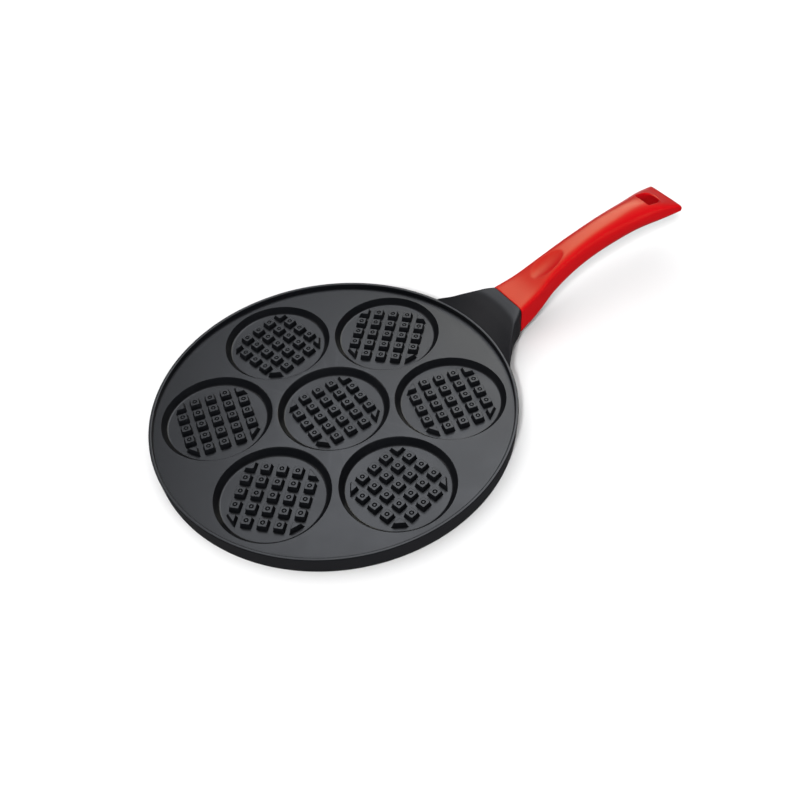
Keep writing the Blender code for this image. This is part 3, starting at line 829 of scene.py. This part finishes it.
def closeTree(tree, geometry, material, result):
    realized = geometryNode(tree, "GeometryNodeRealizeInstances", [("Geometry", geometry)])
    finished = geometryNode(tree, "GeometryNodeSetMaterial",
                            [("Geometry", realized.outputs["Geometry"]), ("Material", material)])
    tree.links.new(finished.outputs["Geometry"], result.inputs["Geometry"])


def makeGridTree():
    # A grid of blocks at each point that comes in, turned by the point's own angle
    tree, given, result, sockets = newGeometryTree("waffleGrid", {
        "Blocks Across": "NodeSocketInt", "Pitch": "NodeSocketFloat", "Full Block": "NodeSocketObject",
        "Corner Block": "NodeSocketObject", "Finish": "NodeSocketMaterial"})
    less = mathNode(tree, "SUBTRACT", given.outputs["Blocks Across"], 1.0)
    reach = mathNode(tree, "MULTIPLY", less, given.outputs["Pitch"])
    grid = geometryNode(tree, "GeometryNodeMeshGrid", [
        ("Size X", reach), ("Size Y", reach),
        ("Vertices X", given.outputs["Blocks Across"]), ("Vertices Y", given.outputs["Blocks Across"])])
    spot = geometryNode(tree, "GeometryNodeInputPosition", []).outputs["Position"]
    parts = geometryNode(tree, "ShaderNodeSeparateXYZ", [("Vector", spot)])
    nearest = mathNode(tree, "MINIMUM", mathNode(tree, "ABSOLUTE", parts.outputs["X"]),
                       mathNode(tree, "ABSOLUTE", parts.outputs["Y"]))
    limit = mathNode(tree, "MULTIPLY", reach, blocks["cornerReach"])
    isCorner = mathNode(tree, "GREATER_THAN", nearest, limit)
    isFull = mathNode(tree, "SUBTRACT", 1.0, isCorner)
    full = geometryNode(tree, "GeometryNodeObjectInfo", [("Object", given.outputs["Full Block"])])
    cut = geometryNode(tree, "GeometryNodeObjectInfo", [("Object", given.outputs["Corner Block"])])
    outward = geometryNode(tree, "FunctionNodeAlignRotationToVector", [("Vector", spot)],
                           axis="X", pivot_axis="Z")
    fullOnes = geometryNode(tree, "GeometryNodeInstanceOnPoints", [
        ("Points", grid.outputs["Mesh"]), ("Selection", isFull), ("Instance", full.outputs["Geometry"])])
    cutOnes = geometryNode(tree, "GeometryNodeInstanceOnPoints", [
        ("Points", grid.outputs["Mesh"]), ("Selection", isCorner), ("Instance", cut.outputs["Geometry"]),
        ("Rotation", outward.outputs["Rotation"])])
    oneGrid = tree.nodes.new("GeometryNodeJoinGeometry")
    for made in (cutOnes, fullOnes):
        tree.links.new(made.outputs["Instances"], oneGrid.inputs["Geometry"])
    turn = geometryNode(tree, "GeometryNodeInputNamedAttribute", [("Name", "gridTurn")], data_type="FLOAT")
    euler = geometryNode(tree, "ShaderNodeCombineXYZ", [("Z", turn.outputs["Attribute"])])
    grids = geometryNode(tree, "GeometryNodeInstanceOnPoints", [
        ("Points", given.outputs["Geometry"]), ("Instance", oneGrid.outputs["Geometry"]),
        ("Rotation", euler.outputs["Vector"])])
    closeTree(tree, grids.outputs["Instances"], given.outputs["Finish"], result)
    return tree, sockets


def spotPoints(name, height):
    # One point at each cup's middle, which carries the turn of its grid
    spots = cupSpots()
    mesh = bpy.data.meshes.new(name)
    mesh.from_pydata([(centre.x, centre.y, height) for centre, turn in spots], [], [])
    turns = mesh.attributes.new("gridTurn", "FLOAT", "POINT")
    for spot, (centre, turn) in zip(turns.data, spots):
        spot.value = turn
    return addObject(name, mesh)


def makeBlocks():
    half = blocks["foot"] / 2
    cornerAt = (blocks["across"] - 1) / 2 * blocks["pitch"] * math.sqrt(2)
    cutAt = cupFloorRadius - blocks["cornerMargin"] - cornerAt
    full = blockShape("fullBlock", [(math.pi / 2 * k, half) for k in range(4)], True)
    corner = blockShape("cornerBlock", [(0, cutAt), (math.pi * 0.75, half), (math.pi * 1.25, half)], False)
    item = spotPoints("waffleBlocks", casting["floorThickness"])
    tree, sockets = makeGridTree()
    runTree(item, tree, sockets, {
        "Blocks Across": blocks["across"], "Pitch": blocks["pitch"], "Full Block": full,
        "Corner Block": corner, "Finish": cookingSkin})
    removeObjects(full, corner)
    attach(item, "root")
    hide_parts("pan_body")
    return item


# Ground feet: the flat undersides of the pads, turned bare, with their lathe ridges

def makeFootTree():
    tree, given, result, sockets = newGeometryTree("groundFeet", {
        "Foot": "NodeSocketObject", "Finish": "NodeSocketMaterial"})
    foot = geometryNode(tree, "GeometryNodeObjectInfo", [("Object", given.outputs["Foot"])])
    placed = geometryNode(tree, "GeometryNodeInstanceOnPoints", [
        ("Points", given.outputs["Geometry"]), ("Instance", foot.outputs["Geometry"])])
    closeTree(tree, placed.outputs["Instances"], given.outputs["Finish"], result)
    return tree, sockets


def makeFeet():
    size = feet
    reach = padRadius - casting["padEdgeRound"] - joint["gap"]
    profile = [Vector((reach / size["middleParts"], size["thickness"])),
               Vector((reach, size["thickness"])), Vector((reach, 0))]
    for k in range(2 * size["ridges"], 0, -1):
        profile.append(Vector((reach * (k - 0.5) / (2 * size["ridges"] + 1), size["ridgeDepth"] * (k % 2))))
    foot = lathe("oneFoot", profile, size["steps"])
    radii = foot.data.attributes.new("ringRadius", "FLOAT", "POINT")
    for vertex, spot in zip(foot.data.vertices, radii.data):
        spot.value = vertex.co.xy.length
    foot.data.shade_smooth()
    foot.data.set_sharp_from_angle(angle=shading["footEdge"])
    item = spotPoints("groundFeet", 0)
    tree, sockets = makeFootTree()
    runTree(item, tree, sockets, {"Foot": foot, "Finish": groundSkin})
    removeObjects(foot)
    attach(item, "root")
    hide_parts("pan_body")
    return item


makeCasting()
print("casting made")
makeBlocks()
makeFeet()
print("blocks and feet made")


# The grip

grip = {
    "length": 0.1600,
    "rise": 0.0335,
    "stepsAlong": 210,
    "stepsRound": 128,
    "frontRound": 0.0004,
    "frontBends": 4,
    "tailRound": 0.0018,
    "tailBends": 8,
    "tailTilt": math.radians(31),
    "tailTiltStartShare": 0.75,
    "alongShares": (0.0, 0.113, 0.238, 0.394, 0.581, 0.80, 1.0),
    "widthShares": (1.0, 0.845, 0.665, 0.605, 0.64, 0.765, 0.985),
    "riseShares": (0.0, 0.175, 0.48, 0.748, 0.925, 1.0, 0.957),
    "depthShares": (1.0, 0.97, 0.92, 0.88, 0.88, 0.84, 0.28),
    "squareShares": (9.0, 7.0, 4.8, 3.3, 2.6, 2.5, 6.0),
}
thumbHollow = {"length": 0.0380, "width": 0.0165, "depth": 0.0022, "place": 0.0368, "capShare": 0.37,
               "soften": 0.00025}
hangHole = {
    "width": 0.0160,
    "length": 0.0158,
    "end": 0.0134,
    "rearReach": 0.0100,
    "rearSquare": 2.6,
    "frontCorner": 0.0022,
    "frontRound": 0.0005,
    "rearRound": 0.0013,
    "rearSteps": 28,
    "cornerSteps": 8,
    "bends": 8,
    "hairParts": 30,
    "overrun": 0.0040,
    "rayStart": 0.1,
}
recess = {"seat": 0.0028, "shankRoom": 0.0005, "washerRoom": 0.0007, "draft": 0.0002}
washers = {
    "flatDiameter": 0.0100,
    "flatThickness": 0.0009,
    "springDiameter": 0.0088,
    "springThickness": 0.0012,
    "springSlit": 0.0008,
    "springLean": math.radians(25),
    "edgeRound": 0.00015,
    "bends": 3,
}
seatDrop = tongue["depth"] / 2 + joint["gap"] + recess["seat"]


def gripStation(along):
    share = along / grip["length"]
    places = grip["alongShares"]
    halfWidth = joint["width"] / 2 * smoothValue(places, grip["widthShares"], share)
    halfDepth = joint["depth"] / 2 * smoothValue(places, grip["depthShares"], share)
    middle = joint["height"] + grip["rise"] * smoothValue(places, grip["riseShares"], share)
    return halfWidth, halfDepth, middle, smoothValue(places, grip["squareShares"], share)


def gripTop(along):
    halfWidth, halfDepth, middle, square = gripStation(along)
    return middle + halfDepth


def gripRing(along, inset):
    halfWidth, halfDepth, middle, square = gripStation(along)
    x = jointX + joint["gap"] + along
    start = grip["tailTiltStartShare"]
    late = max(0, along / grip["length"] - start) / (1 - start)
    lean = math.tan(grip["tailTilt"]) * late ** 2
    points = sectionOutline(halfWidth - inset, halfDepth - inset, square, grip["stepsRound"])
    return [Vector((x - lean * max(0, up), y, middle + up)) for y, up in points]


def pressThumb(rings):
    # A stretched ball, tilted with the grip's top, whose lowest cap presses the hollow
    size = thumbHollow
    ballHeight = size["depth"] / size["capShare"]
    reach = math.sqrt(1 - (1 - size["capShare"]) ** 2)
    ballLength, ballWidth = size["length"] / 2 / reach, size["width"] / 2 / reach
    slope = gripTop(size["place"] + size["depth"]) - gripTop(size["place"] - size["depth"])
    tilt = math.atan2(slope, 2 * size["depth"])
    spot = Matrix.Translation((jointX + size["place"], 0, gripTop(size["place"])))
    place = spot @ Matrix.Rotation(-tilt, 4, "Y")
    back = place.inverted()
    soften = size["soften"]
    for ring in rings:
        for k, point in enumerate(ring):
            s, y, h = back @ point
            inside = 1 - (s / ballLength) ** 2 - (y / ballWidth) ** 2
            if inside <= 0 or h < -ballHeight:
                continue
            ball = ballHeight - size["depth"] - ballHeight * math.sqrt(inside)
            blend = max(soften - abs(h - ball), 0) / soften
            ring[k] = place @ Vector((s, y, min(h, ball) - blend ** 2 * soften / 4))


def hangOutline():
    # Spots with their outward direction: a full rounded end behind, two small corners in front
    size = hangHole
    back = jointX + grip["length"] - size["end"]
    front = back - size["length"]
    half, reach, corner = size["width"] / 2, size["rearReach"], size["frontCorner"]
    spots = []
    for k in range(size["rearSteps"] + 1):
        angle = math.pi * (0.5 - k / size["rearSteps"])
        power = 2 / size["rearSquare"]
        along = max(0, math.cos(angle)) ** power
        across = math.copysign(abs(math.sin(angle)) ** power, math.sin(angle))
        steep = size["rearSquare"] - 1
        outward = Vector((along ** steep / reach, math.copysign(abs(across) ** steep, across) / half))
        spots.append((Vector((back - reach * (1 - along), half * across)), outward.normalized()))
    for side, start in ((-1, -0.5), (1, -1.0)):
        for k in range(size["cornerSteps"] + 1):
            angle = math.pi * (start - k / (2 * size["cornerSteps"]))
            outward = Vector((math.cos(angle), math.sin(angle)))
            spots.append((Vector((front + corner, side * (half - corner))) + corner * outward, outward))
    return spots


def makeHangCutter(body):
    # Its mouths flare along the grip's own upper and lower faces, which leaves rounded rims
    bm = bmesh.new()
    bm.from_mesh(body.data)
    tree = BVHTree.FromBMesh(bm)
    bm.free()

    def surface(point, side):
        start = Vector((point.x, point.y, joint["height"] + grip["rise"] + side * hangHole["rayStart"]))
        hit = tree.ray_cast(start, Vector((0, 0, -side)))[0]
        return hit.z if hit else joint["height"]

    def rimRound(outward, side):
        # The upper rim is crisp in front and soft behind
        rear = max(0, outward.x) if side > 0 else 0
        return hangHole["frontRound"] + (hangHole["rearRound"] - hangHole["frontRound"]) * rear

    bm = bmesh.new()
    loops = []
    for side in (1, -1):
        flares = []
        for down, out in quarterTurn(hangHole["bends"]):
            flare = []
            for spot, outward in hangOutline():
                bend = rimRound(outward, side)
                p = spot + outward * bend * out
                depth = bend * down - hangHole["frontRound"] / hangHole["hairParts"]
                flare.append((p.x, p.y, surface(p, side) - side * depth))
            flares.append(flare)
        mouth = [(x, y, z + side * hangHole["overrun"]) for x, y, z in flares[0]]
        rows = [mouth] + flares
        loops += rows if side > 0 else rows[::-1]
    joinLoops(bm, [[bm.verts.new(point) for point in row] for row in loops])
    return addSolid("hangCutter", bm, redSkin)


def makeGrip():
    size = grip
    front, tail = size["frontRound"], size["tailRound"]
    body = size["length"] - tail
    stations = [(front * along, front * inset) for along, inset in quarterTurn(size["frontBends"])]
    for k in range(1, size["stepsAlong"] + 1):
        stations.append((front + (body - front) * k / size["stepsAlong"], 0))
    for inset, short in quarterTurn(size["tailBends"])[1:]:
        stations.append((size["length"] - tail * short, tail * inset))
    rings = [gripRing(along, inset) for along, inset in stations]
    pressThumb(rings)
    item = loftObject("softGrip", rings, redSkin)
    item.data.materials.append(redCore)
    bore = screw["diameter"] / 2 + recess["shankRoom"]
    room = washers["flatDiameter"] / 2 + recess["washerRoom"]
    over = casting["overrun"]
    combine(item, [
        (makeHangCutter(item), "DIFFERENCE"),
        (tongueBlock("socket", joint["gap"], redCore), "DIFFERENCE"),
        (screwHole("shankHole", bore, 0, -seatDrop - over, redCore), "DIFFERENCE"),
        (screwHole("screwRecess", room, -seatDrop, -seatDrop - joint["depth"], redCore, recess["draft"]),
         "DIFFERENCE")])
    smoothShade(item)
    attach(item, "root")
    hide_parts("handle_grip")
    return item


makeGrip()
print("grip made")


# Screw and washers, drawn in the screw's own frame: z = 0 is the tongue's middle, +Z up the screw

flatTop = -seatDrop - joint["gap"]
springTop = flatTop - washers["flatThickness"] - joint["gap"]
headTop = springTop - washers["springThickness"] - joint["gap"]


def placeFastener(item, node):
    item.data.transform(screwFrame())
    smoothShade(item, shading["steelEdge"])
    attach(item, "root")
    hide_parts(node)
    return item


def makeScrew():
    size = screw
    tip = tongue["depth"] / 2 - size["tipBack"]
    shank, head = size["diameter"] / 2, size["headDiameter"] / 2
    depth = size["pitch"] * size["threadShare"]
    profile = [Vector((shank - size["tipChamfer"], tip))]
    z = tip - size["tipChamfer"]
    while z - size["pitch"] > headTop + size["pitch"]:
        profile += [Vector((shank, z)), Vector((shank - depth, z - size["pitch"] / 2))]
        z -= size["pitch"]
    profile += [Vector((shank, z)), Vector((shank, headTop))]
    bottom = headTop - size["headHeight"]
    profile += roundedProfile([
        (head, headTop, size["headEdge"]), (head, bottom, size["headRound"]), (head / 3, bottom, 0)],
        size["bends"])
    item = lathe("gripScrew", profile, size["steps"], zincSkin)
    over = casting["overrun"]
    tools = []
    for k in range(2):
        bm = bmesh.new()
        middle = Matrix.Translation((0, 0, bottom + size["crossDepth"] / 2 - over / 2))
        scale = Matrix.Diagonal((size["crossLength"], size["crossWidth"], size["crossDepth"] + over, 1))
        turn = Matrix.Rotation(math.pi / 2 * k, 4, "Z")
        bmesh.ops.create_cube(bm, size=1, matrix=turn @ middle @ scale)
        # The wings narrow towards the bottom of the recess
        for vertex in bm.verts:
            if vertex.co.z > bottom:
                vertex.co.xy *= size["crossTaper"]
        tools.append((addSolid(f"crossCut{k}", bm, zincSkin), "DIFFERENCE"))
    combine(item, tools)
    return placeFastener(item, "handle_screw")


def makeWasher(name, node, diameter, top, thickness, slit):
    hole, bend = screw["diameter"] / 2 + joint["gap"], washers["edgeRound"]
    corners = [(hole, top, bend), (diameter / 2, top, bend), (diameter / 2, top - thickness, bend),
               (hole, top - thickness, bend)]
    item = lathe(name, roundedProfile(corners, washers["bends"]), screw["steps"], zincSkin, closed=True)
    if slit:
        bm = bmesh.new()
        scale = Matrix.Diagonal((diameter, slit, diameter, 1))
        place = Matrix.Translation((diameter / 2, 0, top - thickness / 2))
        bmesh.ops.create_cube(bm, size=1, matrix=place @ Matrix.Rotation(washers["springLean"], 4, "X") @ scale)
        combine(item, [(addSolid("slitCut", bm, zincSkin), "DIFFERENCE")])
    return placeFastener(item, node)


makeScrew()
makeWasher("flatWasher", "flat_washer", washers["flatDiameter"], flatTop, washers["flatThickness"], 0)
makeWasher("splitWasher", "spring_washer", washers["springDiameter"], springTop, washers["springThickness"],
           washers["springSlit"])
print("screw and washers made")


# Studio: pale floor, soft lights, pale surroundings and the camera

studio = {
    "floorSize": 14.0,
    "floorDrop": 0.0001,
    "floorSkin": {"Roughness": 0.9, "Specular IOR Level": 0.0},
    "floorColour": (0.72, 0.72, 0.72),
    # Painted shade on the floor: the share of its colour left in front for rays other than the camera's, and
    # the span in Y over which it fades out
    "paintedShadeShare": 0.12,
    "paintedShadeEdges": (0.06, 0.16),
    "white": (1.0, 1.0, 1.0),
    "ceiling": (0.50, 0.50, 0.51),
    "darkWalls": (0.006, 0.006, 0.008),
    "ceilingShares": (0.45, 0.95),
}
cameraSpot = {
    "place": (-0.1931, -0.4358, 0.5294),
    "looksAt": (0.0422, -0.0232, 0.0120),
    "roll": math.radians(-5.187),
    "lens": 43.86,
    "clip": (0.01, 50),
}
# Each light reaches only the gloss or only the matt part of a surface
lights = {
    "softBox": {"kind": "AREA", "from": (0.780, 0.866, 1.866), "size": (1.6, 1.2), "radiance": 6.7,
                "colour": (0.94, 0.98, 1.06), "reaches": "gloss"},
    "bandLight": {"kind": "AREA", "from": (0.61, 0.38, 0.43), "size": (0.40, 0.14), "radiance": 9.8,
                  "looksAt": (jointX + grip["length"] / 2, 0, grip["rise"]),
                  "colour": (1.0, 0.98, 0.85), "reaches": "gloss"},
    "frontFill": {"kind": "SUN", "from": (-0.88, -0.72, 1.0), "spread": math.radians(8), "strength": 2.5,
                  "colour": (1, 1, 1), "reaches": "matt"},
    "sideFill": {"kind": "SUN", "from": (0.25, -0.95, 0.08), "spread": math.radians(35), "strength": 4.2,
                 "colour": (1, 1, 1), "reaches": "matt"},
    "topKey": {"kind": "SUN", "from": (-0.22, 0.48, 1.0), "spread": math.radians(85), "strength": 2.3,
               "colour": (1, 1, 1), "reaches": "matt"},
    "rimGlint": {"kind": "SUN", "from": (-0.73, 0.68, 0.67), "spread": math.radians(12), "strength": 0.30,
                 "colour": (1, 0.95, 0.95), "reaches": "gloss"},
}


def makeFloor():
    bm = bmesh.new()
    bmesh.ops.create_grid(bm, x_segments=1, y_segments=1, size=studio["floorSize"] / 2)
    material, tree, shader = newFinish("paleFloor", studio["floorSkin"])
    floor = addObject("paleFloor", meshOf("paleFloor", bm, material))
    floor.location.z = -studio["floorDrop"]
    # Painted shade: rays other than the camera's meet a darker floor colour in front of the pieces, in place of
    # the shade a studio flag would cast there
    rays = tree.nodes.new("ShaderNodeLightPath")
    coords = tree.nodes.new("ShaderNodeTexCoord")
    parts = tree.nodes.new("ShaderNodeSeparateXYZ")
    tree.links.new(coords.outputs["Object"], parts.inputs[0])
    behind = rangeNode(tree, parts.outputs["Y"], *studio["paintedShadeEdges"], 0.0, 1.0)
    dim = tuple(studio["paintedShadeShare"] * part for part in studio["floorColour"])
    paintedShadeFloor = mixColours(tree, behind, dim, studio["floorColour"])
    tree.links.new(mixColours(tree, rays.outputs["Is Camera Ray"], paintedShadeFloor, studio["floorColour"]),
                   shader.inputs["Base Color"])


def makeLights():
    for name, light in lights.items():
        data = bpy.data.lights.new(name, light["kind"])
        data.color = light["colour"]
        if light["kind"] == "AREA":
            data.shape = "RECTANGLE"
            data.size, data.size_y = light["size"]
            data.energy = light["radiance"] * math.pi * data.size * data.size_y
        else:
            data.angle = light["spread"]
            data.energy = light["strength"]
        item = addObject(name, data)
        item.location = light["from"]
        toward = Vector(light.get("looksAt", (0, 0, 0))) - item.location
        item.rotation_euler = toward.to_track_quat("-Z", "Y").to_euler()
        item.visible_diffuse = light["reaches"] == "matt"
        item.visible_glossy = light["reaches"] == "gloss"
        item.visible_camera = False


def makeRoom():
    # Dark walls under a pale ceiling, because cup walls and block sides mirror what is low down
    world = bpy.data.worlds.new("room")
    world.use_nodes = True
    tree = world.node_tree
    coords = tree.nodes.new("ShaderNodeTexCoord")
    parts = tree.nodes.new("ShaderNodeSeparateXYZ")
    tree.links.new(coords.outputs["Generated"], parts.inputs[0])
    overhead = rangeNode(tree, parts.outputs["Z"], *studio["ceilingShares"], 0.0, 1.0)
    room = mixColours(tree, overhead, studio["darkWalls"], studio["ceiling"])
    rays = tree.nodes.new("ShaderNodeLightPath")
    seen = mixColours(tree, rays.outputs["Is Camera Ray"], room, studio["white"])
    tree.links.new(seen, tree.nodes["Background"].inputs["Color"])
    bpy.context.scene.world = world


def makeCamera():
    data = bpy.data.cameras.new("photoView")
    data.lens = cameraSpot["lens"]
    data.clip_start, data.clip_end = cameraSpot["clip"]
    item = addObject("photoView", data)
    item.location = cameraSpot["place"]
    aim = (Vector(cameraSpot["looksAt"]) - Vector(cameraSpot["place"])).to_track_quat("-Z", "Y")
    item.rotation_euler = (aim.to_matrix() @ Matrix.Rotation(cameraSpot["roll"], 3, "Z")).to_euler()
    bpy.context.scene.camera = item


makeFloor()
makeLights()
makeRoom()
makeCamera()
bpy.context.scene.view_settings.view_transform = "Standard"
print("studio made")
